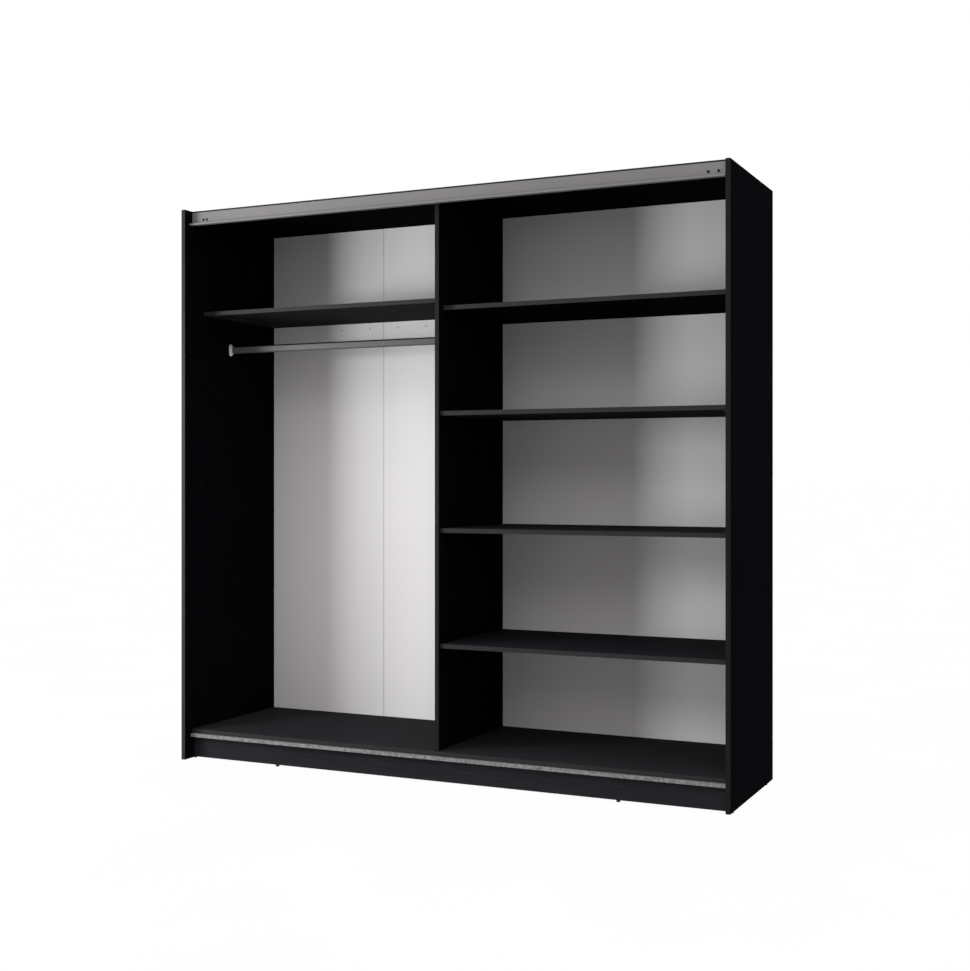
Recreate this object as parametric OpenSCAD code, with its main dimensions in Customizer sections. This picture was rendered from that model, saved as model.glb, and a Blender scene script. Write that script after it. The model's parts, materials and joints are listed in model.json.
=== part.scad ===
// Open wardrobe carcass for front-running sliding doors: a hanging bay with a rail under a
// hat shelf on the left and a shelf bay on the right, black melamine board, pale thin back.
// Origin: centre of the footprint, on the floor. +X to the right, -Y to the front, +Z up.

/* [Overall size] */
// Width over the two side panels
width = 2181; // [1700:1:2600]
// Height over the side panels and their glides
height = 2155; // [2100:1:2400]
// Depth over the left side panel and the back
depth = 627; // [520:1:700]

/* [Boards] */
// Thickness of every melamine board
board = 16; // [16:1:19]
// Thickness of the edge band on a visible front edge
band = 1; // [0.5:0.5:2]
// Thickness of the back sheets
back_t = 3; // [2.5:0.5:4]

/* [Carcass] */
// How far the left side panel stands in front of the top and bottom panels
side_lead = 49; // [46:1:60]
// How far the right side panel's front edge stands behind the left one's
right_setback = 32; // [0:1:34]
// How far the divider stands behind the front edges of the top and bottom panels
divider_setback = 10; // [0:1:20]
// How far the plinth stands behind the front edge of the bottom panel
plinth_setback = 13; // [13:1:25]
// Height of the bottom panel's underside over the floor
bottom_z = 102; // [80:1:140]
// Height of the glides under the side panels
glide_h = 5; // [4:1:8]
// How much higher the plinths' lower edges are than the side panels'
plinth_lift = 2.5; // [0:0.5:5]

/* [Shelves] */
// Height of the hat shelf's underside over the floor
hat_shelf_z = 1751; // [1700:1:1850]
// How far the hat shelf stands behind the front edge of the divider
hat_shelf_setback = 63; // [10:1:80]
// How far the three lower shelves stand behind the front edge of the divider
shelf_setback = 12; // [5:1:60]
// How far the uppermost shelf in the right bay stands behind the front edge of the divider
top_shelf_setback = 37; // [5:1:60]
// Height of the first pinned shelf's top over the bottom panel
shelf_rise_1 = 387; // [300:1:450]
// Height of the second pinned shelf's top over the bottom panel
shelf_rise_2 = 806; // [700:1:900]
// Height of the fixed shelf's top over the bottom panel
shelf_rise_3 = 1231; // [1150:1:1300]
// Height of the third pinned shelf's top over the bottom panel
shelf_rise_4 = 1616; // [1550:1:1700]

/* [Hanging rail] */
// Height of the rail's oval section
rail_h = 30; // [25:1:34]
// Width of the rail's oval section
rail_w = 15; // [13:1:17]
// Wall thickness of the rail
rail_wall = 1.2; // [1:0.1:2]
// Drop from the hat shelf's underside to the rail's centre
rail_drop = 121; // [80:1:200]

/* [Door tracks] */
// Height of the top track's face
fascia_h = 51; // [45:0.5:60]
// Drop from the top surface to the top track's upper edge
fascia_drop = 6.5; // [5:0.5:10]
// How far the top track's running lip stands in front of its face
lip_reach = 20; // [16:1:22]
// Height of the running lip's upturned edge
lip_h = 7; // [5:1:10]
// Height of the bottom track
guide_h = 13; // [12:0.5:18]
// How far the bottom track stands in front of the bottom panel
guide_reach = 12; // [8:1:20]

/* [Hidden] */

$fn = 32;

// Planes that the boards share
front_y = -depth / 2;
strip_t = 1;
back_y = depth / 2 - strip_t;
board_back_y = back_y - back_t;
carcass_y = front_y + side_lead;
divider_y = carcass_y + divider_setback;
hat_shelf_y = divider_y + hat_shelf_setback;
shelf_ys = [for (i = [0 : 3]) divider_y + (i == 3 ? top_shelf_setback : shelf_setback)];
shelf_back_y = board_back_y - 2;
plinth_y = carcass_y + plinth_setback;
side_x = width / 2;
inner_x = side_x - board;
divider_x = board / 2;
bottom_top_z = bottom_z + board;
plinth_z = glide_h + plinth_lift;
top_z = height - board;
carcass_mid_y = (carcass_y + board_back_y) / 2;

// Shelves in the right bay, counted from the bottom up; the third is fixed
shelf_tops = [for (r = [shelf_rise_1, shelf_rise_2, shelf_rise_3, shelf_rise_4]) bottom_top_z + r];
shelf_play = 0.5;

// Board joints: cams, bolts and dowels near the front and rear of each board end
joint_ys = [carcass_y + 110, board_back_y - 60];
dowel_pitch = 32;
cam_d = 15;
cam_depth = 12.5;
cam_reach = 34;
bolt_d = 7;
bolt_bore = 8;
bolt_thread_d = 5;
bolt_thread_l = 11;
dowel_d = 8;
dowel_in_end = 20;
dowel_in_face = 10;

// Shelf pins
pin_d = 5;
pin_head_d = 7;
pin_in = 9;
pin_out = 8;
pin_ys = [shelf_ys[3] + 45, shelf_back_y - 45];

// Long screws that hold the divider between the top and bottom panels
divider_screw_ys = [divider_y + 50, carcass_mid_y, board_back_y - 50];
divider_screw_l = 50;
divider_screw_d = 6;
divider_screw_head = 10;

// Glides
glide_d = 14;
glide_pin_d = 3;
glide_pin_l = 12;
side_glide_ys = [front_y + 80, board_back_y - 80];
plinth_glide_xs = [-side_x + 400, side_x - 400];

// Angle brackets behind the plinths
bracket_leg = 24;
bracket_w = 16;
bracket_t = 2;
bracket_hole = bracket_leg * 0.6;
bracket_xs = [for (s = [-1, 1], d = [250, 800]) s * d * width / 2181];
bracket_screw_d = 3.5;
bracket_screw_l = 12;
bracket_screw_head = 7;
bracket_end_z = (glide_h + bottom_z) / 2;
support_x = -24;
support_y0 = plinth_y + board;
support_y1 = board_back_y - board;

// Back sheets, their joint strips, nails and rivets; the seams are a little right of each
// bay's middle
sheet_gap = 1.6;
seam_shift = 11;
seam_xs = [-width / 4 + seam_shift, width / 4 + seam_shift];
sheet_xs = [-side_x + 3, seam_xs[0], 0, seam_xs[1], side_x - 3];
sheet_gaps = [0, sheet_gap / 2, 0.2, sheet_gap / 2, 0];
sheet_bottom_z = 30;
sheet_top_z = height - 2;
strip_w = 20;
strip_recess = 0.4;
nail_d = 1.5;
nail_l = 18;
nail_head_d = 5;
nail_head_t = 0.8;
nail_pitch = 180;
rivet_xs = [-735, -600, -467, -337] * width / 2181;
rivet_drop = 23.5;
rivet_d = 4;
rivet_head_d = 8;
rivet_head_t = 1.2;

// Tracks
track_play = 1;
track_wall = 1.8;
track_notch = 0.3;
web_y = carcass_y - track_wall;
lip_y = web_y - lip_reach;
fascia_top_z = height - fascia_drop;
fascia_bottom_z = fascia_top_z - fascia_h;
flange_l = 30;
track_screw_xs = [for (i = [0 : 7]) (i - 3.5) * (width - 388) / 7];
track_screw_d = 3.5;
track_screw_l = 14;
track_screw_head = 7;
end_block_w = 84;
end_block_t = 20;
end_block_h = 32;
end_screw_ins_left = [55, 71];
end_screw_ins_right = [27, 62];
block_screw_ins = [13, 43];
block_screw_l = end_block_h + 12;
end_screw_drop = 29.5;
end_screw_d = 4;
end_screw_head = 9;
guide_z = bottom_z - guide_h;
guide_y = carcass_y - guide_reach;
guide_slot_w = 3.6;
guide_slot_h = guide_h - 3;

// Hanging rail and its sockets
rail_y = -8.5;
rail_z = hat_shelf_z - rail_drop;
rail_play = 0.4;
socket_wall = 1.6;
socket_base_t = 2;
socket_depth = 13;
socket_plate_h = rail_h + 18;
socket_plate_w = rail_w + 7;
socket_screw_d = 3;
socket_screw_head = 6;
socket_screw_l = 12;

// ---------------------------------------------------------------- shared shapes

// Block between two opposite corners
module block(lo, hi) {
    translate(lo) cube(hi - lo);
}

// Round bar along X, Y or Z that starts at p; a negative length runs the other way
module bar_x(p, d, l) {
    translate(p) rotate([0, l < 0 ? -90 : 90, 0]) cylinder(d = d, h = abs(l));
}

module bar_y(p, d, l) {
    translate(p) rotate([l < 0 ? 90 : -90, 0, 0]) cylinder(d = d, h = abs(l));
}

module bar_z(p, d, l) {
    translate(p) rotate([l < 0 ? 180 : 0, 0, 0]) cylinder(d = d, h = abs(l));
}

// Countersunk screw, head at the origin, pointing along +Z
module countersunk_screw(d, l, head) {
    cross = head * 0.55;
    difference() {
        union() {
            cylinder(d1 = head, d2 = d, h = (head - d) / 2);
            cylinder(d = d, h = l - d);
            translate([0, 0, l - d]) cylinder(d1 = d, d2 = d * 0.2, h = d);
        }
        for (a = [0, 90]) {
            rotate(a) translate([-cross / 2, -head / 14, -1]) cube([cross, head / 7, 2]);
        }
    }
}

// Room for a countersunk screw in the boards it holds
module countersunk_hole(d, l, head) {
    cylinder(d1 = head + 0.2, d2 = d + 0.2, h = (head - d) / 2);
    cylinder(d = d + 0.2, h = l + 0.5);
}

// Screw with a low domed head, head's underside at the origin, pointing along +Z
module pan_screw(d, l, head) {
    cross = head * 0.6;
    difference() {
        union() {
            translate([0, 0, -1.2]) cylinder(d = head, h = 1.2);
            translate([0, 0, -2.2]) cylinder(d1 = head * 0.62, d2 = head, h = 1);
            cylinder(d = d, h = l - d);
            translate([0, 0, l - d]) cylinder(d1 = d, d2 = d * 0.2, h = d);
        }
        for (a = [0, 90]) {
            rotate(a) translate([-cross / 2, -head / 14, -3]) cube([cross, head / 7, 2]);
        }
    }
}

// Cam joints at one board end. end_x is the end face, s points out of the board into its
// neighbour, z is the board's middle and up is 1 where the cams sit in the upper face.
module at_cams() {
    for (y = joint_ys) {
        translate([0, y, 0]) children();
    }
}

module cam_pockets(end_x, s, z, up) {
    at_cams() {
        bar_z([end_x - s * cam_reach, 0, z + up * (board / 2 + 1)], cam_d, -up * (cam_depth + 1));
        bar_x([end_x + s, 0, z], bolt_bore, -s * (cam_reach + 1));
    }
}

module cams(end_x, s, z, up) {
    at_cams() {
        difference() {
            bar_z([end_x - s * cam_reach, 0, z + up * board / 2], cam_d, -up * cam_depth);
            bar_x([end_x, 0, z], bolt_d, -s * cam_reach);
            translate([end_x - s * cam_reach, 0, z + up * board / 2]) {
                for (a = [45, 135]) rotate(a) cube([8, 1.6, 4], center = true);
            }
        }
    }
}

module bolts(end_x, s, z) {
    at_cams() {
        bar_x([end_x, 0, z], bolt_thread_d, s * bolt_thread_l);
        bar_x([end_x, 0, z], bolt_d, -s * (cam_reach - 12));
        bar_x([end_x - s * (cam_reach - 12), 0, z], bolt_d - 2.5, -s * 8);
        bar_x([end_x - s * (cam_reach - 4), 0, z], bolt_d - 0.5, -s * 3.5);
    }
}

module end_dowel_holes(end_x, s, z) {
    for (y = joint_ys) {
        bar_x([end_x + s, y + dowel_pitch, z], dowel_d, -s * (dowel_in_end + 1));
    }
}

// Holes in the face of the upright that a fixed board meets
module face_holes(face_x, s, z) {
    for (y = joint_ys) {
        bar_x([face_x - s, y, z], bolt_thread_d, s * (bolt_thread_l + 1));
        bar_x([face_x - s, y + dowel_pitch, z], dowel_d, s * (dowel_in_face + 1));
    }
}

module end_dowels(end_x, s, z) {
    for (y = joint_ys) {
        bar_x([end_x - s * dowel_in_end, y + dowel_pitch, z], dowel_d,
              s * (dowel_in_end + dowel_in_face));
    }
}

// Each fixed board end: end face, outward direction, middle height, side of the cams
fixed_ends = [
    [-inner_x, -1, height - board / 2, 1],
    [inner_x, 1, height - board / 2, 1],
    [-inner_x, -1, bottom_z + board / 2, -1],
    [inner_x, 1, bottom_z + board / 2, -1],
    [-inner_x, -1, hat_shelf_z + board / 2, -1],
    [-divider_x, 1, hat_shelf_z + board / 2, -1],
    [divider_x, -1, shelf_tops[2] - board / 2, -1],
    [inner_x, 1, shelf_tops[2] - board / 2, -1]
];

// Shelf pins: the middle of each pin under the three loose shelves
module at_pins() {
    for (i = [0, 1, 3], y = pin_ys) {
        translate([0, y, shelf_tops[i] - board - pin_head_d / 2]) children();
    }
}

// Nails along the rear edges of the boards: columns up the uprights, rows on the level boards
function span(lo, hi, pitch) =
    let (n = ceil((hi - lo) / pitch)) [for (i = [0 : n]) lo + (hi - lo) * i / n];

nail_columns = [-side_x + 6, -4, 4, side_x - 6];
nail_rows = [
    [-inner_x, inner_x, height - board / 2],
    [-inner_x, inner_x, bottom_z + board / 2],
    [-inner_x, -divider_x, hat_shelf_z + board / 2],
    [divider_x, inner_x, shelf_tops[2] - board / 2]
];

module at_nails() {
    for (x = nail_columns, z = span(bottom_top_z + 60, top_z - 60, nail_pitch)) {
        translate([x, back_y, z]) children();
    }
    for (r = nail_rows, x = span(r[0] + 70, r[1] - 70, nail_pitch)) {
        if (min([for (e = [0, seam_xs[0], seam_xs[1]]) abs(x - e)]) > strip_w) {
            translate([x, back_y, r[2]]) children();
        }
    }
}

module nail_holes() {
    at_nails() {
        bar_y([0, 1, 0], nail_d, -(nail_l + 1.2));
        bar_y([0, 1, 0], nail_head_d + 0.2, -(nail_head_t + 1));
    }
}

// ---------------------------------------------------------------- uprights

// s is -1 for the left panel and 1 for the right one
function side_front_y(s) = front_y + (s > 0 ? right_setback : 0);

module side_panel(s) {
    difference() {
        block([min(s * inner_x, s * side_x), side_front_y(s) + band, glide_h],
              [max(s * inner_x, s * side_x), board_back_y, height]);
        for (e = fixed_ends) {
            if (e[0] * s > divider_x + 1) face_holes(e[0], s, e[2]);
        }
        if (s > 0) {
            at_pins() bar_x([inner_x - 1, 0, 0], pin_d, pin_in + 1);
        } else {
            socket_screw_holes(-inner_x, -1);
        }
        for (y = side_glide_ys) {
            bar_z([s * (side_x - board / 2), y, glide_h - 1], glide_pin_d, glide_pin_l + 1.5);
        }
        at_end_brackets() bracket_level_hole();
        nail_holes();
    }
}

module left_side_panel() {
    color("#24242a") side_panel(-1);
}

module right_side_panel() {
    color("#24242a") side_panel(1);
}

module divider_panel() {
    color("#24242a") difference() {
        block([-divider_x, divider_y + band, bottom_top_z], [divider_x, board_back_y, top_z]);
        face_holes(-divider_x, 1, hat_shelf_z + board / 2);
        face_holes(divider_x, -1, shelf_tops[2] - board / 2);
        at_pins() bar_x([divider_x + 1, 0, 0], pin_d, -(pin_in + 1));
        socket_screw_holes(-divider_x, 1);
        divider_screw_holes();
        top_track_notch();
        nail_holes();
    }
}

// ---------------------------------------------------------------- level boards

module divider_screw_holes() {
    for (y = divider_screw_ys) {
        translate([0, y, height]) rotate([180, 0, 0])
            countersunk_hole(divider_screw_d, divider_screw_l, divider_screw_head);
        translate([0, y, bottom_z])
            countersunk_hole(divider_screw_d, divider_screw_l, divider_screw_head);
    }
}

module top_panel() {
    color("#24242a") difference() {
        block([-inner_x, carcass_y + band, top_z], [inner_x, board_back_y, height]);
        for (e = [fixed_ends[0], fixed_ends[1]]) {
            cam_pockets(e[0], e[1], e[2], e[3]);
            end_dowel_holes(e[0], e[1], e[2]);
        }
        divider_screw_holes();
        top_track_screw_holes();
        for (s = [-1, 1]) {
            block_screw_holes(s);
        }
        nail_holes();
    }
}

module bottom_panel() {
    color("#24242a") difference() {
        block([-inner_x, carcass_y + band, bottom_z], [inner_x, board_back_y, bottom_top_z]);
        for (e = [fixed_ends[2], fixed_ends[3]]) {
            cam_pockets(e[0], e[1], e[2], e[3]);
            end_dowel_holes(e[0], e[1], e[2]);
        }
        divider_screw_holes();
        bottom_track_screw_holes();
        at_brackets() bracket_level_hole();
        nail_holes();
    }
}

module hat_shelf() {
    color("#24242a") difference() {
        block([-inner_x, hat_shelf_y + band, hat_shelf_z],
              [-divider_x, shelf_back_y, hat_shelf_z + board]);
        for (e = [fixed_ends[4], fixed_ends[5]]) {
            cam_pockets(e[0], e[1], e[2], e[3]);
            end_dowel_holes(e[0], e[1], e[2]);
        }
        nail_holes();
    }
}

// i counts the shelves from the bottom, from 0; fixed shelves have no play at the ends
module right_shelf(i) {
    play = i == 2 ? 0 : shelf_play;
    color("#24242a") difference() {
        block([divider_x + play, shelf_ys[i] + band, shelf_tops[i] - board],
              [inner_x - play, shelf_back_y, shelf_tops[i]]);
        if (i == 2) {
            for (e = [fixed_ends[6], fixed_ends[7]]) {
                cam_pockets(e[0], e[1], e[2], e[3]);
                end_dowel_holes(e[0], e[1], e[2]);
            }
            nail_holes();
        }
    }
}

module right_shelf_1() { right_shelf(0); }
module right_shelf_2() { right_shelf(1); }
module right_shelf_3() { right_shelf(2); }
module right_shelf_4() { right_shelf(3); }

// ---------------------------------------------------------------- edge bands

module side_band(s) {
    color("#55555a")
        block([min(s * inner_x, s * side_x), side_front_y(s), glide_h],
              [max(s * inner_x, s * side_x), side_front_y(s) + band, height]);
}

module left_side_edge_band() { side_band(-1); }
module right_side_edge_band() { side_band(1); }

module divider_edge_band() {
    color("#55555a") difference() {
        block([-divider_x, divider_y, bottom_top_z], [divider_x, divider_y + band, top_z]);
        top_track_notch();
    }
}

module level_band(x0, x1, y, z) {
    color("#4a4a50") block([x0, y, z], [x1, y + band, z + board]);
}

module top_edge_band() { level_band(-inner_x, inner_x, carcass_y, top_z); }
module bottom_edge_band() { level_band(-inner_x, inner_x, carcass_y, bottom_z); }
module hat_shelf_edge_band() { level_band(-inner_x, -divider_x, hat_shelf_y, hat_shelf_z); }

module right_shelf_band(i) {
    play = i == 2 ? 0 : shelf_play;
    level_band(divider_x + play, inner_x - play, shelf_ys[i], shelf_tops[i] - board);
}

module right_shelf_edge_band_1() { right_shelf_band(0); }
module right_shelf_edge_band_2() { right_shelf_band(1); }
module right_shelf_edge_band_3() { right_shelf_band(2); }
module right_shelf_edge_band_4() { right_shelf_band(3); }

// ---------------------------------------------------------------- plinth

// Angle with one leg up against a plinth at y = 0 (facing +Y) and one under the bottom panel
module bracket() {
    difference() {
        union() {
            block([-bracket_w / 2, 0, -bracket_leg], [bracket_w / 2, bracket_t, 0]);
            block([-bracket_w / 2, 0, -bracket_t], [bracket_w / 2, bracket_leg, 0]);
        }
        bar_y([0, -1, -bracket_hole], bracket_screw_d + 0.4, bracket_t + 2);
        bar_z([0, bracket_hole, -bracket_t - 1], bracket_screw_d + 0.4, bracket_t + 2);
    }
}

module bracket_screw() {
    pan_screw(bracket_screw_d, bracket_screw_l, bracket_screw_head);
}

module bracket_screw_hole() {
    translate([0, 0, -1]) cylinder(d = bracket_screw_d, h = bracket_screw_l + 1);
}

module bracket_level_hole() {
    translate([0, bracket_hole, 0]) bracket_screw_hole();
}

module bracket_upright_hole() {
    translate([0, 0, -bracket_hole]) rotate([90, 0, 0]) bracket_screw_hole();
}

// Brackets under the bottom panel: behind the front plinth and in front of the rear one
module at_brackets() {
    for (x = bracket_xs) {
        translate([x, support_y0, bottom_z]) children();
        translate([x, support_y1, bottom_z]) mirror([0, 1, 0]) children();
    }
}

// Brackets between the plinths' ends and the side panels
module at_end_brackets() {
    for (s = [-1, 1], m = [0, 1]) {
        translate([s * inner_x, m == 0 ? support_y0 : support_y1, bracket_end_z])
            mirror([0, m, 0]) rotate([0, s * 90, 0]) children();
    }
}

module plinth(y) {
    color("#2b2b30") difference() {
        block([-inner_x, y, plinth_z], [inner_x, y + board, bottom_z]);
        at_brackets() bracket_upright_hole();
        at_end_brackets() bracket_upright_hole();
        at_support_dowels() support_dowel_hole();
        for (x = plinth_glide_xs) {
            bar_z([x, y + board / 2, plinth_z - 1], glide_pin_d, glide_pin_l + 1.5);
        }
    }
}

module front_plinth() { plinth(plinth_y); }
module rear_plinth() { plinth(board_back_y - board); }

module centre_support() {
    color("#2b2b30") difference() {
        block([support_x - board / 2, support_y0, plinth_z],
              [support_x + board / 2, support_y1, bottom_z]);
        bar_z([support_x, carcass_mid_y, plinth_z - 1], glide_pin_d, glide_pin_l + 1.5);
        at_support_dowels() support_dowel_hole();
    }
}

// Dowels between the plinths and the ends of the centre support, pointing into the support
module at_support_dowels() {
    translate([support_x, support_y0, bracket_end_z]) children();
    translate([support_x, support_y1, bracket_end_z]) mirror([0, 1, 0]) children();
}

module support_dowel_hole() {
    bar_y([0, -dowel_in_face - 1, 0], dowel_d, dowel_in_face + dowel_in_end + 2);
}

module plinth_brackets() {
    color("#b9bcc0") {
        at_brackets() bracket();
        at_end_brackets() bracket();
    }
}

module plinth_bracket_screws() {
    color("#b9bcc0") {
        for (k = [0, 1]) {
            at_bracket_set(k) {
                translate([0, bracket_hole, -bracket_t]) bracket_screw();
                translate([0, bracket_t, -bracket_hole]) rotate([90, 0, 0]) bracket_screw();
            }
        }
    }
}

module at_bracket_set(k) {
    if (k == 0) {
        at_brackets() children();
    } else {
        at_end_brackets() children();
    }
}

// Nail-in glide h high
module glide(p, h) {
    translate(p) {
        cylinder(d1 = glide_d - 2, d2 = glide_d, h = 1);
        translate([0, 0, 1]) cylinder(d = glide_d, h = h - 1);
        cylinder(d = glide_pin_d, h = h + glide_pin_l);
    }
}

module plinth_glides() {
    color("#1b1b1d") {
        for (x = plinth_glide_xs, y = [plinth_y + board / 2, board_back_y - board / 2]) {
            glide([x, y, 0], plinth_z);
        }
        glide([support_x, carcass_mid_y, 0], plinth_z);
    }
}

module side_glides() {
    color("#1b1b1d") {
        for (s = [-1, 1], y = side_glide_ys) {
            glide([s * (side_x - board / 2), y, 0], glide_h);
        }
    }
}

// ---------------------------------------------------------------- back

// i counts the sheets from the left, from 0; the inner pair meets behind the divider
module back_sheet(i) {
    color("#e6e6e6") difference() {
        block([sheet_xs[i] + sheet_gaps[i], board_back_y, sheet_bottom_z],
              [sheet_xs[i + 1] - sheet_gaps[i + 1], back_y, sheet_top_z]);
        nail_holes();
        if (i < 2) {
            for (x = rivet_xs) {
                bar_y([x, back_y + 1, hat_shelf_z - rivet_drop], rivet_d, -(back_t + 2));
            }
        }
    }
}

module back_sheet_1() { back_sheet(0); }
module back_sheet_2() { back_sheet(1); }
module back_sheet_3() { back_sheet(2); }
module back_sheet_4() { back_sheet(3); }

// T section between the top and bottom panels: a flange behind the seam of two sheets and a
// web that fills it
module back_joint_strip(x) {
    color("#4c4c50") {
        block([x - strip_w / 2, back_y, bottom_top_z], [x + strip_w / 2, back_y + strip_t, top_z]);
        block([x - sheet_gap / 2, board_back_y + strip_recess, bottom_top_z],
              [x + sheet_gap / 2, back_y, top_z]);
    }
}

module back_joint_strip_left() { back_joint_strip(seam_xs[0]); }
module back_joint_strip_right() { back_joint_strip(seam_xs[1]); }

module back_nails() {
    color("#a9abae") at_nails() {
        bar_y([0, 0, 0], nail_head_d, -nail_head_t);
        bar_y([0, 0, 0], nail_d, -nail_l);
    }
}

module back_rivets() {
    color("#8f9194") for (x = rivet_xs) {
        translate([x, back_y, hat_shelf_z - rivet_drop]) {
            bar_y([0, strip_t, 0], rivet_d, -(back_t + strip_t + rivet_head_t));
            bar_y([0, 0, 0], rivet_head_d, strip_t);
            bar_y([0, -back_t, 0], rivet_head_d, -rivet_head_t);
        }
    }
}

// ---------------------------------------------------------------- door tracks

// Section along X: face, flange under the top panel, lip in front with an upturned edge
module top_track() {
    x = inner_x - track_play;
    color("#8e8e90") difference() {
        union() {
            block([-x, web_y, fascia_bottom_z], [x, carcass_y, fascia_top_z]);
            block([-x, web_y, top_z - track_wall], [x, carcass_y + flange_l, top_z]);
            block([-x, lip_y, fascia_bottom_z], [x, carcass_y, fascia_bottom_z + track_wall]);
            block([-x, lip_y, fascia_bottom_z], [x, lip_y + track_wall, fascia_bottom_z + lip_h]);
        }
        top_track_screw_holes();
        for (s = [-1, 1]) {
            end_screw_holes(s);
            block_screw_holes(s);
        }
    }
}

// Room for the track's flange in the divider's top front corner
module top_track_notch() {
    block([-divider_x - 1, divider_y - 1, top_z - track_wall - track_notch],
          [divider_x + 1, carcass_y + flange_l + track_notch, top_z + 1]);
}

module at_top_track_screws() {
    for (x = track_screw_xs) {
        translate([x, carcass_y + flange_l - 12, top_z - track_wall]) children();
    }
}

module top_track_screw_holes() {
    at_top_track_screws() {
        translate([0, 0, -1]) cylinder(d = track_screw_d, h = track_screw_l + 1.5);
    }
}

module top_track_screws() {
    color("#a9abae") at_top_track_screws() {
        pan_screw(track_screw_d, track_screw_l, track_screw_head);
    }
}

// Blocks behind the track's face at its ends
module track_end_blocks() {
    color("#3a3a3e") for (s = [-1, 1]) {
        difference() {
            block([min(s * inner_x, s * (inner_x - end_block_w)), carcass_y,
                   top_z - track_wall - end_block_h],
                  [max(s * inner_x, s * (inner_x - end_block_w)), carcass_y + end_block_t,
                   top_z - track_wall]);
            end_screw_holes(s);
            block_screw_holes(s);
        }
    }
}

// Screws up through a block and the track's flange into the top panel
module at_block_screws(s) {
    for (d = block_screw_ins) {
        translate([s * (inner_x - d), carcass_y + end_block_t / 2,
                   top_z - track_wall - end_block_h]) children();
    }
}

module block_screw_holes(s) {
    at_block_screws(s) countersunk_hole(end_screw_d, block_screw_l, end_screw_head);
}

module track_block_screws() {
    color("#a9abae") for (s = [-1, 1]) {
        at_block_screws(s) countersunk_screw(end_screw_d, block_screw_l, end_screw_head);
    }
}

module at_end_screws(s) {
    for (d = s < 0 ? end_screw_ins_left : end_screw_ins_right) {
        translate([s * (inner_x - d), web_y, fascia_top_z - end_screw_drop])
            rotate([-90, 0, 0]) children();
    }
}

module end_screw_holes(s) {
    at_end_screws(s) translate([0, 0, -1]) cylinder(d = end_screw_d, h = 14.5);
}

module track_end_screws() {
    color("#26262a") for (s = [-1, 1]) {
        at_end_screws(s) pan_screw(end_screw_d, 13, end_screw_head);
    }
}

// Aluminium bar under the front edge of the bottom panel, with two guide slots from below
module bottom_track() {
    x = inner_x - track_play;
    color("#c9c9c6") difference() {
        block([-x, guide_y, guide_z], [x, plinth_y, bottom_z]);
        for (i = [0, 1]) {
            block([-x - 1, guide_y + 2 + i * (guide_slot_w + 1.6), guide_z - 1],
                  [x + 1, guide_y + 2 + i * (guide_slot_w + 1.6) + guide_slot_w,
                   guide_z + guide_slot_h]);
        }
        bottom_track_screw_holes();
    }
}

module at_bottom_track_screws() {
    for (x = track_screw_xs) {
        translate([x, plinth_y - plinth_setback / 2, guide_z]) children();
    }
}

module bottom_track_screw_holes() {
    at_bottom_track_screws() countersunk_hole(track_screw_d, guide_h + 12, track_screw_head);
}

module bottom_track_screws() {
    color("#a9abae") at_bottom_track_screws() {
        countersunk_screw(track_screw_d, guide_h + 12, track_screw_head);
    }
}

// ---------------------------------------------------------------- hanging rail

// Oval outline w wide (Y) and h high (Z), drawn in a plane across X
module oval(w, h) {
    r = w / 2;
    union() {
        for (s = [-1, 1]) {
            translate([s * (h / 2 - r), 0]) circle(r = r);
        }
        square([h - w, w], center = true);
    }
}

// Oval bar along +X from x
module oval_bar(x, w, h, l) {
    translate([x, rail_y, rail_z]) rotate([0, 90, 0]) linear_extrude(l) oval(w, h);
}

module hanging_rail() {
    x = -inner_x + socket_base_t + rail_play;
    l = inner_x - divider_x - 2 * (socket_base_t + rail_play);
    color("#5c5c60") difference() {
        oval_bar(x, rail_w, rail_h, l);
        oval_bar(x - 1, rail_w - 2 * rail_wall, rail_h - 2 * rail_wall, l + 2);
    }
}

// Cup on a wall at x that opens towards +X for s = 1 and towards -X for s = -1
module rail_socket(x, s) {
    cup_w = rail_w + 2 * (rail_play + socket_wall);
    cup_h = rail_h + 2 * (rail_play + socket_wall);
    difference() {
        union() {
            oval_bar(s > 0 ? x : x - socket_base_t, socket_plate_w, socket_plate_h, socket_base_t);
            oval_bar(s > 0 ? x : x - socket_depth, cup_w, cup_h, socket_depth);
        }
        oval_bar(s > 0 ? x + socket_base_t : x - socket_depth - 1, rail_w + 2 * rail_play,
                 rail_h + 2 * rail_play, socket_depth - socket_base_t + 1);
        at_socket_screws() {
            translate([x + s * socket_base_t, 0, 0]) rotate([0, -s * 90, 0])
                countersunk_hole(socket_screw_d, socket_screw_l, socket_screw_head);
        }
    }
}

// Screws inside the cup, either side of its centre
module at_socket_screws() {
    for (z = [-8, 8]) {
        translate([0, rail_y, rail_z + z]) children();
    }
}

// Holes in the upright behind a socket; s points into the upright
module socket_screw_holes(x, s) {
    at_socket_screws() bar_x([x - s, 0, 0], socket_screw_d, s * socket_screw_l);
}

module rail_socket_left() {
    color("#c4c4c8") rail_socket(-inner_x, 1);
}

module rail_socket_right() {
    color("#c4c4c8") rail_socket(-divider_x, -1);
}

module rail_socket_screws() {
    color("#a9abae") for (e = [[-inner_x, -1], [-divider_x, 1]]) {
        at_socket_screws() {
            translate([e[0] - e[1] * socket_base_t, 0, 0]) rotate([0, e[1] * 90, 0])
                countersunk_screw(socket_screw_d, socket_screw_l, socket_screw_head);
        }
    }
}

// ---------------------------------------------------------------- board joints

module cam_housings() {
    color("#b9bcc0") for (e = fixed_ends) {
        cams(e[0], e[1], e[2], e[3]);
    }
}

module cam_bolts() {
    color("#9fa2a6") for (e = fixed_ends) {
        bolts(e[0], e[1], e[2]);
    }
}

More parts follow.
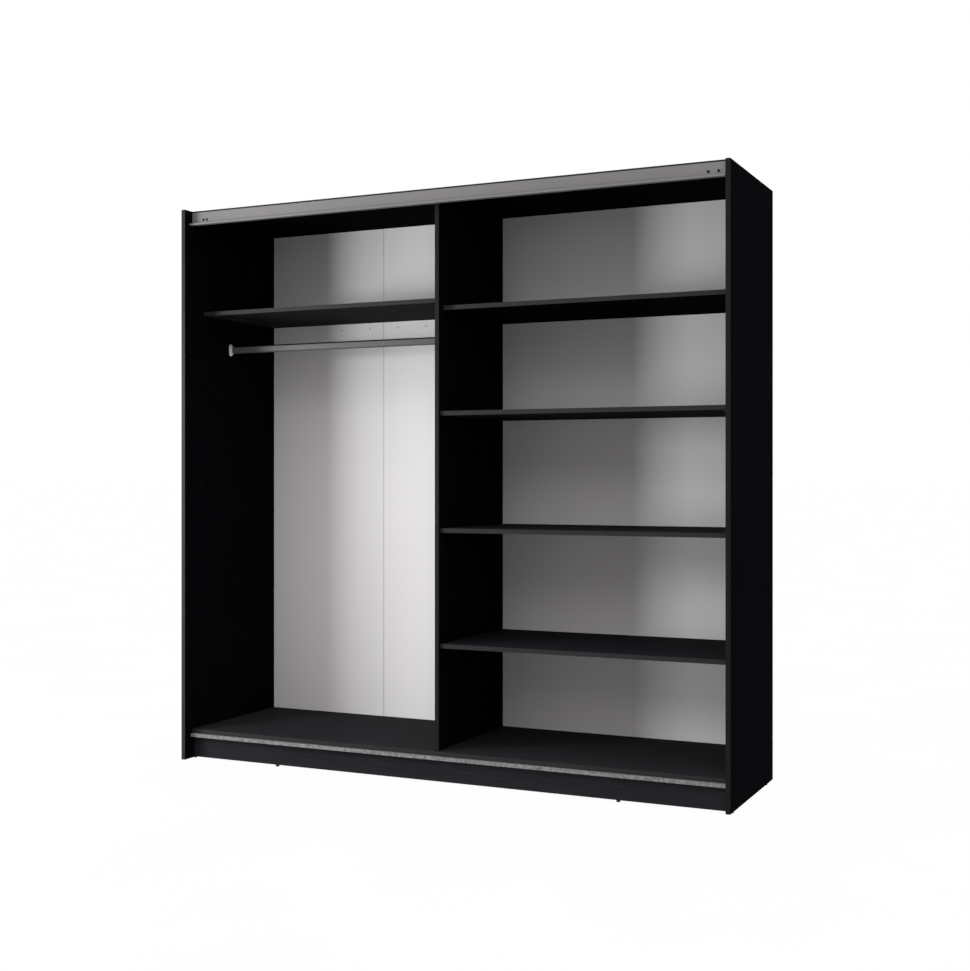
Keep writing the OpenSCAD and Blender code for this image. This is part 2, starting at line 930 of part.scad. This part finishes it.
module dowels() {
    color("#c8a878") {
        for (e = fixed_ends) {
            end_dowels(e[0], e[1], e[2]);
        }
        at_support_dowels() bar_y([0, -dowel_in_face, 0], dowel_d, dowel_in_face + dowel_in_end);
    }
}

module divider_screws() {
    color("#a9abae") for (y = divider_screw_ys) {
        translate([0, y, height]) rotate([180, 0, 0])
            countersunk_screw(divider_screw_d, divider_screw_l, divider_screw_head);
        translate([0, y, bottom_z])
            countersunk_screw(divider_screw_d, divider_screw_l, divider_screw_head);
    }
}

module shelf_pins() {
    color("#b9bcc0") for (s = [-1, 1]) {
        face_x = s < 0 ? divider_x : inner_x;
        at_pins() {
            bar_x([face_x, 0, 0], pin_d, s * (pin_in - 1));
            bar_x([face_x, 0, 0], pin_head_d, -s * pin_out);
        }
    }
}

// ---------------------------------------------------------------- selection

left_side_panel();
right_side_panel();
divider_panel();
top_panel();
bottom_panel();
left_side_edge_band();
right_side_edge_band();
divider_edge_band();
top_edge_band();
bottom_edge_band();
hat_shelf();
hat_shelf_edge_band();
right_shelf_1();
right_shelf_2();
right_shelf_3();
right_shelf_4();
right_shelf_edge_band_1();
right_shelf_edge_band_2();
right_shelf_edge_band_3();
right_shelf_edge_band_4();
front_plinth();
rear_plinth();
centre_support();
plinth_brackets();
plinth_bracket_screws();
plinth_glides();
side_glides();
back_sheet_1();
back_sheet_2();
back_sheet_3();
back_sheet_4();
back_joint_strip_left();
back_joint_strip_right();
back_nails();
back_rivets();
top_track();
top_track_screws();
track_end_blocks();
track_block_screws();
track_end_screws();
bottom_track();
bottom_track_screws();
hanging_rail();
rail_socket_left();
rail_socket_right();
rail_socket_screws();
cam_housings();
cam_bolts();
dowels();
divider_screws();
shelf_pins();
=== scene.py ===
"""Open wardrobe carcass for sliding doors: black boards, pale back, seen from its right front."""

import json
import math

import bpy
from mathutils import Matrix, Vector


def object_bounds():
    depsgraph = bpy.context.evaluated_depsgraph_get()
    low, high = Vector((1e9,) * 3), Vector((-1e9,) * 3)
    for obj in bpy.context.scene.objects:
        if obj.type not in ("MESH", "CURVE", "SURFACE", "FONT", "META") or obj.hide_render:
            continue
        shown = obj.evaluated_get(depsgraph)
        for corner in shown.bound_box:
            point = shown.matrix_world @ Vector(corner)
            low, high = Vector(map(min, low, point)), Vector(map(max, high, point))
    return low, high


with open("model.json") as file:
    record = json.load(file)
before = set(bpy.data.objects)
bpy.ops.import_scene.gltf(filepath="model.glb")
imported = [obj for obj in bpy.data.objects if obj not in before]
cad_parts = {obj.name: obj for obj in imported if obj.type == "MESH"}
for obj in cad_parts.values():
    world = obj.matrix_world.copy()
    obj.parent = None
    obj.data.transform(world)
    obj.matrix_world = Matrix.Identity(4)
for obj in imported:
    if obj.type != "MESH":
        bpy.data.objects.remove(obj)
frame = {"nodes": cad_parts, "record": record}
NODES = frame["nodes"]
CAD_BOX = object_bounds()
(LEFT, FRONT, FLOOR), (_, _, TOP) = CAD_BOX
HEIGHT = TOP - FLOOR

# ---------------------------------------------------------------- camera

CAMERA_AT = (2.2897, -4.7453, 1.1103)
CAMERA_TURN = math.radians(25.03)
CAMERA_LENS = 51.6
CAMERA_SHIFT_Y = -0.00884


def make_camera():
    data = bpy.data.cameras.new("camera")
    data.lens = CAMERA_LENS
    data.sensor_width = 36
    data.shift_y = CAMERA_SHIFT_Y
    data.clip_end = 1000
    camera = bpy.data.objects.new("camera", data)
    camera.location = CAMERA_AT
    camera.rotation_euler = (math.pi / 2, 0, CAMERA_TURN)
    bpy.context.scene.collection.objects.link(camera)
    bpy.context.scene.camera = camera


# ---------------------------------------------------------------- node helpers


def new_material(name):
    """An empty node material: returns it with its node tree and Principled shader."""
    material = bpy.data.materials.new(name)
    material.use_nodes = True
    tree = material.node_tree
    return material, tree, tree.nodes["Principled BSDF"]


def add(tree, kind, **settings):
    """A new node; settings are attributes, or sockets where the name starts with in_."""
    node = tree.nodes.new(kind)
    for key, value in settings.items():
        if key.startswith("in_"):
            node.inputs[key[3:].replace("_", " ")].default_value = value
        else:
            setattr(node, key, value)
    return node


def object_coordinates(tree, scale=(1, 1, 1)):
    """Object coordinates, stretched by scale."""
    place = add(tree, "ShaderNodeTexCoord")
    mapping = add(tree, "ShaderNodeMapping")
    mapping.inputs["Scale"].default_value = scale
    tree.links.new(place.outputs["Object"], mapping.inputs["Vector"])
    return mapping.outputs["Vector"]


def noise(tree, vector, scale, detail=4.0, roughness=0.5):
    node = add(tree, "ShaderNodeTexNoise", in_Scale=scale, in_Detail=detail, in_Roughness=roughness)
    tree.links.new(vector, node.inputs["Vector"])
    return node.outputs["Fac"]


def ramp(tree, factor, stops):
    """A colour ramp; stops are (position, grey or colour)."""
    node = add(tree, "ShaderNodeValToRGB")
    elements = node.color_ramp.elements
    while len(elements) < len(stops):
        elements.new(0.5)
    for element, (position, value) in zip(elements, stops):
        element.position = position
        colour = value if isinstance(value, tuple) else (value, value, value)
        element.color = (*colour, 1)
    tree.links.new(factor, node.inputs["Fac"])
    return node.outputs["Color"]


def bump(tree, shader, height, strength, distance):
    node = add(tree, "ShaderNodeBump", in_Strength=strength, in_Distance=distance)
    tree.links.new(height, node.inputs["Height"])
    tree.links.new(node.outputs["Normal"], shader.inputs["Normal"])


def multiply(tree, a, b):
    """Two colours multiplied."""
    node = add(tree, "ShaderNodeMix", data_type="RGBA", blend_type="MULTIPLY")
    node.inputs["Factor"].default_value = 1
    tree.links.new(a, node.inputs["A"])
    tree.links.new(b, node.inputs["B"])
    return node.outputs["Result"]


def blend_by_normal(tree, axis, limits, low, high):
    """Colour low where one axis of the normal is under the limits, and high where it is over."""
    where = add(tree, "ShaderNodeNewGeometry")
    facing = add(tree, "ShaderNodeSeparateXYZ")
    tree.links.new(where.outputs["True Normal"], facing.inputs["Vector"])
    both = add(tree, "ShaderNodeMix", data_type="RGBA")
    start, end = limits
    share = ramp(tree, facing.outputs[axis], [(start, 0.0), (end, 1.0)])
    tree.links.new(share, both.inputs["Factor"])
    tree.links.new(low, both.inputs["A"])
    tree.links.new(high, both.inputs["B"])
    return both.outputs["Result"]


# ---------------------------------------------------------------- materials

# How fine a board's print grain is across and along it, and how much finer its pores are
GRAIN_ACROSS = 30.0
GRAIN_ALONG = 1.2
PORES_PER_GRAIN = 14

# How far a surface faces the rear, or upwards, where its colour changes over
REAR_FACING = (0.45, 0.55)
# The upward limit marks the rail's top, where a dark reflection is painted.
UP_FACING = (0.25, 0.33)

# Darkest and lightest tone of each finish
# The board tones below are one black melamine in several shades: the upright tone is painted shade
# on the uprights, the top panel and the top right shelf, the base tone is painted light on the
# bottom panel and the hat shelf, and the level and plinth tones lie between.
UPRIGHT_DARK, UPRIGHT_LIGHT = (0.0017, 0.0017, 0.0027), (0.0052, 0.005, 0.0066)
LEVEL_DARK, LEVEL_LIGHT = (0.012, 0.0117, 0.014), (0.021, 0.0205, 0.025)
BASE_DARK, BASE_LIGHT = (0.018, 0.0173, 0.0192), (0.027, 0.0262, 0.0292)
PLINTH_DARK, PLINTH_LIGHT = (0.015, 0.015, 0.0175), (0.022, 0.022, 0.026)
BAND_DARK, BAND_LIGHT = (0.017, 0.0168, 0.0185), (0.0255, 0.0252, 0.0275)
# A darker copy of the band tone: painted shade on the divider's and the right side's edge bands.
SHADED_BAND_DARK, SHADED_BAND_LIGHT = (0.0055, 0.0055, 0.0062), (0.0085, 0.0085, 0.0095)
LACQUER_DARK, LACQUER_LIGHT = (0.775, 0.77, 0.772), (0.80, 0.797, 0.799)
RAW_FIBRE_DARK, RAW_FIBRE_LIGHT = (0.20, 0.115, 0.055), (0.36, 0.235, 0.13)
BEECH_DARK, BEECH_LIGHT = (0.42, 0.27, 0.14), (0.62, 0.44, 0.26)
FASCIA_DARK, FASCIA_LIGHT = (0.175, 0.173, 0.173), (0.2, 0.198, 0.198)
GUIDE_DARK, GUIDE_LIGHT = (0.11, 0.109, 0.112), (0.26, 0.258, 0.262)
# The socket's near-white, mostly diffuse tone is a painted reflection of its plated metal.
SOCKET_DARK, SOCKET_LIGHT = (0.9, 0.9, 0.91), (0.97, 0.97, 0.97)
ZINC_DARK, ZINC_LIGHT = (0.45, 0.46, 0.47), (0.62, 0.63, 0.64)
BLACK_PLASTIC_DARK, BLACK_PLASTIC_LIGHT = (0.012, 0.012, 0.013), (0.022, 0.022, 0.023)
GREY_PLASTIC_DARK, GREY_PLASTIC_LIGHT = 0.44, 0.52
SCREW_DARK, SCREW_LIGHT = 0.004, 0.009
RAIL_DARK, RAIL_LIGHT = 0.095, 0.12
# Near-black tone on the rail's upward-facing top: a painted reflection of the dark shelf above.
RAIL_TOP_SHADE_DARK, RAIL_TOP_SHADE_LIGHT = 0.003, 0.006
FLANGE_DARK, FLANGE_LIGHT = 0.05, 0.075
# Tones of the joint strips' front edges in the seams: painted shade in the left seam, painted light
# in the right.
SHADED_SEAM, LIT_SEAM = (0.02, 0.035), (0.56, 0.64)


def board_material(name, along, dark, light, gloss_weight):
    """Black melamine: a faint print grain along one axis, fine pores and a satin sheen."""
    material, tree, shader = new_material(name)
    stretch = [GRAIN_ACROSS] * 3
    stretch["XYZ".index(along)] = GRAIN_ALONG
    fine = [value * PORES_PER_GRAIN for value in stretch]
    grain = noise(tree, object_coordinates(tree, stretch), 6.0, 6.0, 0.6)
    patches = noise(tree, object_coordinates(tree), 2.5, 3.0)
    pores = noise(tree, object_coordinates(tree, fine), 9.0, 3.0)
    base = ramp(tree, grain, [(0.32, dark), (0.72, light)])
    shade = ramp(tree, patches, [(0.3, 0.88), (0.7, 1.0)])
    tree.links.new(multiply(tree, base, shade), shader.inputs["Base Color"])
    gloss = ramp(tree, grain, [(0.25, 0.52), (0.75, 0.4)])
    tree.links.new(gloss, shader.inputs["Roughness"])
    shader.inputs["Specular IOR Level"].default_value = 0.0
    shader.inputs["Coat Weight"].default_value = gloss_weight
    shader.inputs["Coat Roughness"].default_value = 0.35
    bump(tree, shader, pores, 0.12, 0.0004)
    return material


def edge_material(name, dark, light):
    """Dark grey ABS edge band, faintly mottled and worn in places."""
    material, tree, shader = new_material(name)
    marks = noise(tree, object_coordinates(tree, (40, 40, 40)), 5.0, 5.0, 0.65)
    wear = noise(tree, object_coordinates(tree), 3.0, 5.0)
    base = ramp(tree, marks, [(0.3, dark), (0.7, light)])
    shade = ramp(tree, wear, [(0.3, 0.86), (0.7, 1.0)])
    tree.links.new(multiply(tree, base, shade), shader.inputs["Base Color"])
    tree.links.new(ramp(tree, marks, [(0.2, 0.55), (0.8, 0.45)]), shader.inputs["Roughness"])
    shader.inputs["Specular IOR Level"].default_value = 0.12
    bump(tree, shader, marks, 0.1, 0.0003)
    return material


def back_material():
    """Hardboard back sheet: white lacquer on the inner face, raw brown fibre behind."""
    material, tree, shader = new_material("back_sheet")
    fibres = noise(tree, object_coordinates(tree, (120, 120, 120)), 4.0, 8.0, 0.7)
    clouds = noise(tree, object_coordinates(tree), 1.6, 4.0)
    lacquer = multiply(
        tree,
        ramp(tree, clouds, [(0.3, LACQUER_DARK), (0.7, LACQUER_LIGHT)]),
        ramp(tree, fibres, [(0.3, 0.965), (0.7, 1.0)]),
    )
    raw = multiply(
        tree,
        ramp(tree, fibres, [(0.25, RAW_FIBRE_DARK), (0.75, RAW_FIBRE_LIGHT)]),
        ramp(tree, clouds, [(0.25, 0.82), (0.75, 1.0)]),
    )
    base = blend_by_normal(tree, "Y", REAR_FACING, lacquer, raw)
    tree.links.new(base, shader.inputs["Base Color"])
    tree.links.new(ramp(tree, fibres, [(0.3, 0.62), (0.7, 0.5)]), shader.inputs["Roughness"])
    shader.inputs["Specular IOR Level"].default_value = 0.3
    bump(tree, shader, fibres, 0.08, 0.0003)
    return material


def plastic_material(name, dark, light, rough):
    """Moulded plastic with a fine matt texture."""
    material, tree, shader = new_material(name)
    texture = noise(tree, object_coordinates(tree, (300, 300, 300)), 4.0, 5.0, 0.6)
    cast = noise(tree, object_coordinates(tree), 12.0, 3.0)
    base = multiply(
        tree,
        ramp(tree, texture, [(0.3, dark), (0.7, light)]),
        ramp(tree, cast, [(0.3, 0.9), (0.7, 1.0)]),
    )
    tree.links.new(base, shader.inputs["Base Color"])
    gloss = ramp(tree, texture, [(0.2, rough + 0.08), (0.8, rough - 0.06)])
    tree.links.new(gloss, shader.inputs["Roughness"])
    bump(tree, shader, texture, 0.1, 0.0002)
    return material


def joint_strip_material(name, seam_tones):
    """Dark grey extruded strip whose narrow front edge, seen in the seam, gets the tones given:
    painted shade in the left seam, painted light in the right one.
    """
    material, tree, shader = new_material(name)
    streaks = noise(tree, object_coordinates(tree, (300, 300, 6)), 4.0, 5.0, 0.6)
    seam = ramp(tree, streaks, [(0.3, seam_tones[0]), (0.7, seam_tones[1])])
    flange = ramp(tree, streaks, [(0.3, FLANGE_DARK), (0.7, FLANGE_LIGHT)])
    base = blend_by_normal(tree, "Y", REAR_FACING, seam, flange)
    tree.links.new(base, shader.inputs["Base Color"])
    tree.links.new(ramp(tree, streaks, [(0.2, 0.53), (0.8, 0.39)]), shader.inputs["Roughness"])
    bump(tree, shader, streaks, 0.1, 0.0002)
    return material


def painted_material(name, dark, light, rough, blotch=2.0, gloss=0.2):
    """Coated metal with a slight orange peel; blotch is how finely its tone varies."""
    material, tree, shader = new_material(name)
    peel = noise(tree, object_coordinates(tree, (220, 220, 220)), 4.0, 3.0)
    tone = noise(tree, object_coordinates(tree), blotch, 4.0)
    base = multiply(
        tree,
        ramp(tree, tone, [(0.3, dark), (0.7, light)]),
        ramp(tree, peel, [(0.3, 0.96), (0.7, 1.0)]),
    )
    tree.links.new(base, shader.inputs["Base Color"])
    polish = ramp(tree, peel, [(0.2, rough + 0.06), (0.8, rough - 0.05)])
    tree.links.new(polish, shader.inputs["Roughness"])
    shader.inputs["Specular IOR Level"].default_value = gloss
    bump(tree, shader, peel, 0.15, 0.0003)
    return material


def metal_material(name, dark, light, rough, metallic=1.0):
    """Metal with upright drawing lines; with metallic well under 1 and a near-white base, as on the
    socket, it is mostly a diffuse colour standing in for the bright reflection of plated metal:
    painted reflection.
    """
    material, tree, shader = new_material(name)
    lines = noise(tree, object_coordinates(tree, (400, 400, 2)), 3.0, 5.0, 0.6)
    smudges = noise(tree, object_coordinates(tree), 14.0, 6.0, 0.6)
    base = multiply(
        tree,
        ramp(tree, lines, [(0.3, dark), (0.7, light)]),
        ramp(tree, smudges, [(0.3, 0.8), (0.7, 1.0)]),
    )
    tree.links.new(base, shader.inputs["Base Color"])
    shader.inputs["Metallic"].default_value = metallic
    polish = ramp(tree, smudges, [(0.2, rough + 0.1), (0.8, rough - 0.05)])
    tree.links.new(polish, shader.inputs["Roughness"])
    bump(tree, shader, lines, 0.12, 0.0002)
    return material


def rail_material():
    """Grey anodised tube with drawing lines along it; its upward-facing top is painted near-black,
    a painted reflection of the dark shelf above.
    """
    material, tree, shader = new_material("rail_chrome")
    lines = noise(tree, object_coordinates(tree, (2, 400, 400)), 3.0, 5.0, 0.6)
    tube = ramp(tree, lines, [(0.3, RAIL_DARK), (0.7, RAIL_LIGHT)])
    shaded_top = ramp(tree, lines, [(0.3, RAIL_TOP_SHADE_DARK), (0.7, RAIL_TOP_SHADE_LIGHT)])
    base = blend_by_normal(tree, "Z", UP_FACING, tube, shaded_top)
    tree.links.new(base, shader.inputs["Base Color"])
    tree.links.new(ramp(tree, lines, [(0.2, 0.5), (0.8, 0.4)]), shader.inputs["Roughness"])
    shader.inputs["Metallic"].default_value = 0.12
    shader.inputs["Specular IOR Level"].default_value = 0.1
    bump(tree, shader, lines, 0.12, 0.0002)
    return material


def dowel_material():
    """Beech with its grain along the dowel."""
    material, tree, shader = new_material("beech_dowel")
    grain = noise(tree, object_coordinates(tree, (8, 260, 260)), 3.0, 5.0, 0.6)
    base = ramp(tree, grain, [(0.3, BEECH_DARK), (0.7, BEECH_LIGHT)])
    tree.links.new(base, shader.inputs["Base Color"])
    tree.links.new(ramp(tree, grain, [(0.2, 0.7), (0.8, 0.55)]), shader.inputs["Roughness"])
    bump(tree, shader, grain, 0.15, 0.0003)
    return material


# Boards and edge bands come as darker and lighter copies of one finish; the copies' tones are
# painted shade and painted light.
MATERIALS = {
    "board_upright_shaded": board_material("board_upright_shaded", "Z", UPRIGHT_DARK, UPRIGHT_LIGHT, 0.01),
    "board_level_shaded": board_material("board_level_shaded", "X", UPRIGHT_DARK, UPRIGHT_LIGHT, 0.01),
    "board_level": board_material("board_level", "X", LEVEL_DARK, LEVEL_LIGHT, 0.03),
    "board_level_lit": board_material("board_level_lit", "X", BASE_DARK, BASE_LIGHT, 0.04),
    "board_plinth": board_material("board_plinth", "X", PLINTH_DARK, PLINTH_LIGHT, 0.05),
    "edge_band": edge_material("edge_band", BAND_DARK, BAND_LIGHT),
    "edge_band_shaded": edge_material(
        "edge_band_shaded", SHADED_BAND_DARK, SHADED_BAND_LIGHT
    ),
    "back_sheet": back_material(),
    "joint_strip": joint_strip_material("joint_strip", SHADED_SEAM),
    "joint_strip_lit": joint_strip_material("joint_strip_lit", LIT_SEAM),
    "track_grey": painted_material("track_grey", FASCIA_DARK, FASCIA_LIGHT, 0.5),
    "track_aluminium": painted_material(
        "track_aluminium", GUIDE_DARK, GUIDE_LIGHT, 0.5, blotch=110.0
    ),
    "rail_chrome": rail_material(),
    "socket_chrome": metal_material(
        "socket_chrome", SOCKET_DARK, SOCKET_LIGHT, 0.3, metallic=0.1
    ),
    "zinc_steel": metal_material("zinc_steel", ZINC_DARK, ZINC_LIGHT, 0.35),
    "dark_screw": painted_material(
        "dark_screw", SCREW_DARK, SCREW_LIGHT, 0.5, blotch=60.0, gloss=0.06
    ),
    "grey_plastic": plastic_material(
        "grey_plastic", GREY_PLASTIC_DARK, GREY_PLASTIC_LIGHT, 0.5
    ),
    "black_plastic": plastic_material(
        "black_plastic", BLACK_PLASTIC_DARK, BLACK_PLASTIC_LIGHT, 0.5
    ),
    "beech_dowel": dowel_material(),
}

# Nodes given darker or lighter copies of their slot's material: painted shade on the darker ones,
# painted light on the paler ones
UPRIGHTS = ("left_side_panel", "right_side_panel", "divider_panel")
DARKER_BANDS = ("divider_edge_band", "right_side_edge_band")
DARKER_LEVELS = ("top_panel", "right_shelf_4")
PALER_LEVELS = ("bottom_panel", "hat_shelf")


def material_of(node, slot):
    """The material a CAD node gets: its slot's, or a darker copy of it with painted shade, or a
    lighter copy with painted light.
    """
    if node == "back_joint_strip_right":
        return MATERIALS["joint_strip_lit"]
    if node in DARKER_BANDS:
        return MATERIALS["edge_band_shaded"]
    if slot != "black_board":
        return MATERIALS[slot]
    if node in UPRIGHTS:
        return MATERIALS["board_upright_shaded"]
    if node in DARKER_LEVELS:
        return MATERIALS["board_level_shaded"]
    if node in PALER_LEVELS:
        return MATERIALS["board_level_lit"]
    return MATERIALS["board_plinth" if "plinth" in node else "board_level"]


def dress_nodes():
    """Gives every CAD node its material."""
    slots = {part["node"]: part["material_slot"] for part in frame["record"]["subparts"]}
    for name, node in NODES.items():
        material = material_of(name, slots[name])
        node.data.materials.clear()
        node.data.materials.append(material)


# ---------------------------------------------------------------- stage and light

FLOOR_REACH = 400.0
FLOOR_GLOW = (0.965, 0.975)
FLOOR_TINT = (0.02, 0.02, 0.02, 1)

# Softboxes, square, placed from the carcass: sizes in metres and powers in watts
KEY_AT = (LEFT - 0.99, FRONT - 1.77, 1.5)
KEY_SIZE = 0.5
KEY_POWER = 34
SIDE_AT = (LEFT - 3.9, FRONT - 4.2, 0.5)
SIDE_SIZE = 1.1
SIDE_POWER = 124
FILL_AT = (0.0, FRONT - 2.2, TOP + 0.25)
FILL_SIZE = 0.8
FILL_POWER = 3.2

# The room lights the carcass from all round, and more strongly from above a height of view
ROOM_STRENGTH = 0.546
ROOM_TINT = (1, 0.962, 0.978, 1)
CEILING_STRENGTH = 1.38
CEILING_FROM = 0.3
CEILING_EDGE = 0.05
BACKDROP = (1, 1, 1, 1)


def make_floor():
    """A wide pale floor, lit from within as a light table is, so that no shadow shows on it."""
    material, tree, shader = new_material("pale_floor")
    tone = noise(tree, object_coordinates(tree), 1.5, 3.0)
    glow = ramp(tree, tone, [(0.3, FLOOR_GLOW[0]), (0.7, FLOOR_GLOW[1])])
    tree.links.new(glow, shader.inputs["Emission Color"])
    shader.inputs["Emission Strength"].default_value = 1.0
    shader.inputs["Base Color"].default_value = FLOOR_TINT
    shader.inputs["Roughness"].default_value = 0.9
    shader.inputs["Specular IOR Level"].default_value = 0.0
    mesh = bpy.data.meshes.new("floor")
    reach = FLOOR_REACH
    corners = [(-reach, -reach, 0), (reach, -reach, 0), (reach, reach, 0), (-reach, reach, 0)]
    mesh.from_pydata(corners, [], [(0, 1, 2, 3)])
    mesh.materials.append(material)
    floor = bpy.data.objects.new("floor", mesh)
    floor.visible_glossy = False
    floor.visible_diffuse = False
    bpy.context.scene.collection.objects.link(floor)


def make_softbox(name, at, size, power, towards):
    """A square studio softbox that faces one point."""
    data = bpy.data.lights.new(name, "AREA")
    data.shape = "SQUARE"
    data.size = size
    data.energy = power
    light = bpy.data.objects.new(name, data)
    light.location = at
    light.rotation_euler = (Vector(towards) - Vector(at)).to_track_quat("-Z", "Y").to_euler()
    bpy.context.scene.collection.objects.link(light)


def make_lights():
    """A key at the left front, a stronger low light further out and a weak fill in front."""
    middle = (0.0, 0.0, HEIGHT / 2)
    make_softbox("key", KEY_AT, KEY_SIZE, KEY_POWER, (0.0, 0.0, KEY_AT[2]))
    make_softbox("side", SIDE_AT, SIDE_SIZE, SIDE_POWER, middle)
    make_softbox("fill", FILL_AT, FILL_SIZE, FILL_POWER, middle)


def make_world():
    """White past the floor for the camera; for other rays, a grey room with a bright ceiling."""
    world = bpy.data.worlds.new("world")
    world.use_nodes = True
    tree = world.node_tree
    room = tree.nodes["Background"]
    room.inputs["Color"].default_value = ROOM_TINT
    place = add(tree, "ShaderNodeTexCoord")
    height = add(tree, "ShaderNodeSeparateXYZ")
    tree.links.new(place.outputs["Generated"], height.inputs["Vector"])
    ceiling = add(tree, "ShaderNodeMapRange", interpolation_type="SMOOTHSTEP")
    ceiling.inputs["From Min"].default_value = CEILING_FROM - CEILING_EDGE
    ceiling.inputs["From Max"].default_value = CEILING_FROM + CEILING_EDGE
    ceiling.inputs["To Min"].default_value = ROOM_STRENGTH
    ceiling.inputs["To Max"].default_value = CEILING_STRENGTH
    tree.links.new(height.outputs["Z"], ceiling.inputs["Value"])
    tree.links.new(ceiling.outputs["Result"], room.inputs["Strength"])
    white = add(tree, "ShaderNodeBackground", in_Color=BACKDROP)
    path = add(tree, "ShaderNodeLightPath")
    mix = add(tree, "ShaderNodeMixShader")
    tree.links.new(path.outputs["Is Camera Ray"], mix.inputs["Fac"])
    tree.links.new(room.outputs["Background"], mix.inputs[1])
    tree.links.new(white.outputs["Background"], mix.inputs[2])
    tree.links.new(mix.outputs["Shader"], tree.nodes["World Output"].inputs["Surface"])
    bpy.context.scene.world = world
    bpy.context.scene.view_settings.view_transform = "Standard"


make_camera()
dress_nodes()
make_floor()
make_lights()
make_world()
